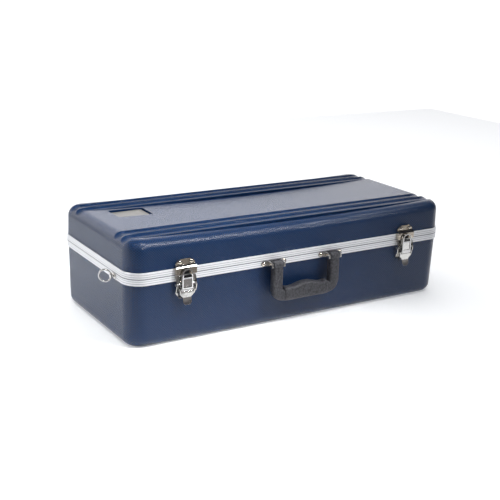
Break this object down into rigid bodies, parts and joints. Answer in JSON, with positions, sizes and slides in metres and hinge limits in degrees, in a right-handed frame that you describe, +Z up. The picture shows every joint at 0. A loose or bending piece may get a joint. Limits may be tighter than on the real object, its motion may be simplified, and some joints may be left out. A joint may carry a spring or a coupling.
{
  "type": "alto saxophone case",
  "caption": "Long moulded case with a ribbed, hinged lid, metal edge band, draw latches, a swinging carrying handle, end rings and a shaped plush lining for an alto saxophone.",
  "frame": {"origin": "middle of the flat underside of the closed case", "axes": "+X along the case towards its right end, +Y from the handle side to the hinge side, +Z up"},
  "size_m": [0.695, 0.308, 0.1776],
  "materials": {
    "shell": "navy, embossed all over with a fine cross-hatched grain, half gloss",
    "band": "pale satin with fine lines along it",
    "plush": "short black plush over foam (guessed)",
    "badge": "blank, satin",
    "handle": "black with a fine leather-like grain",
    "chrome": "bright plated pressed steel",
    "rivet": "bright plated",
    "pin": "plain steel"
  },
  "bodies": {
    "base": {"base_shell": "shell", "base_band": "band", "plush_bed": "plush", "hinge_left_base_leaf": "chrome", "hinge_left_pin": "pin", "hinge_middle_base_leaf": "chrome", "hinge_middle_pin": "pin", "hinge_right_base_leaf": "chrome", "hinge_right_pin": "pin", "hinge_base_rivets": "rivet", "handle_bracket_rivets": "rivet", "latch_plate_rivets": "rivet", "latch_left_plate": "chrome", "latch_left_lever_pins": "pin", "handle_left_bracket": "chrome", "ring_left_clip": "chrome", "ring_left_clip_rivets": "rivet", "latch_right_plate": "chrome", "latch_right_lever_pins": "pin", "handle_right_bracket": "chrome", "ring_right_clip": "chrome", "ring_right_clip_rivets": "rivet"},
    "lid": {"lid_shell": "shell", "lid_band": "band", "lid_pad": "plush", "badge_plate": "badge", "hinge_lid_rivets": "rivet", "catch_rivets": "rivet", "hinge_left_lid_leaf": "chrome", "hinge_middle_lid_leaf": "chrome", "hinge_right_lid_leaf": "chrome", "latch_left_catch": "chrome", "latch_right_catch": "chrome"},
    "latch_left_lever": {"latch_left_lever": "chrome", "latch_left_hook_pin": "pin"},
    "latch_left_hook": {"latch_left_hook": "chrome"},
    "latch_right_lever": {"latch_right_lever": "chrome", "latch_right_hook_pin": "pin"},
    "latch_right_hook": {"latch_right_hook": "chrome"},
    "handle": {"handle": "handle"},
    "ring_left": {"ring_left": "chrome"},
    "ring_right": {"ring_right": "chrome"}
  },
  "joints": [
    {"name": "lid_hinge", "type": "hinge", "parent": "base", "child": "lid", "pos_m": [0, 0.1434, 0.118], "axis": [-1, 0, 0], "range_deg": [0, 105]},
    {"name": "latch_left_lever_turn", "type": "hinge", "parent": "base", "child": "latch_left_lever", "pos_m": [-0.228, -0.1439, 0.102], "axis": [-1, 0, 0], "range_deg": [0, 100]},
    {"name": "latch_left_hook_turn", "type": "hinge", "parent": "latch_left_lever", "child": "latch_left_hook", "pos_m": [-0.228, -0.1479, 0.0942], "axis": [-1, 0, 0], "range_deg": [-101, 0]},
    {"name": "latch_right_lever_turn", "type": "hinge", "parent": "base", "child": "latch_right_lever", "pos_m": [0.228, -0.1439, 0.102], "axis": [-1, 0, 0], "range_deg": [0, 100]},
    {"name": "latch_right_hook_turn", "type": "hinge", "parent": "latch_right_lever", "child": "latch_right_hook", "pos_m": [0.228, -0.1479, 0.0942], "axis": [-1, 0, 0], "range_deg": [-101, 0]},
    {"name": "handle_swing", "type": "hinge", "parent": "base", "child": "handle", "pos_m": [0, -0.1523, 0.1127], "axis": [-1, 0, 0], "range_deg": [-4, 180]},
    {"name": "ring_left_swing", "type": "hinge", "parent": "base", "child": "ring_left", "pos_m": [-0.3296, -0.084, 0.1127], "axis": [0, 0, 1], "range_deg": [-52, 117]},
    {"name": "ring_right_swing", "type": "hinge", "parent": "base", "child": "ring_right", "pos_m": [0.3296, -0.084, 0.1127], "axis": [0, 0, 1], "range_deg": [-117, 52]}
  ],
  "couplings": [
    {"joint": "latch_left_hook_turn", "follows": "latch_left_lever_turn", "ratio": -1},
    {"joint": "latch_right_hook_turn", "follows": "latch_right_lever_turn", "ratio": -1}
  ]
}
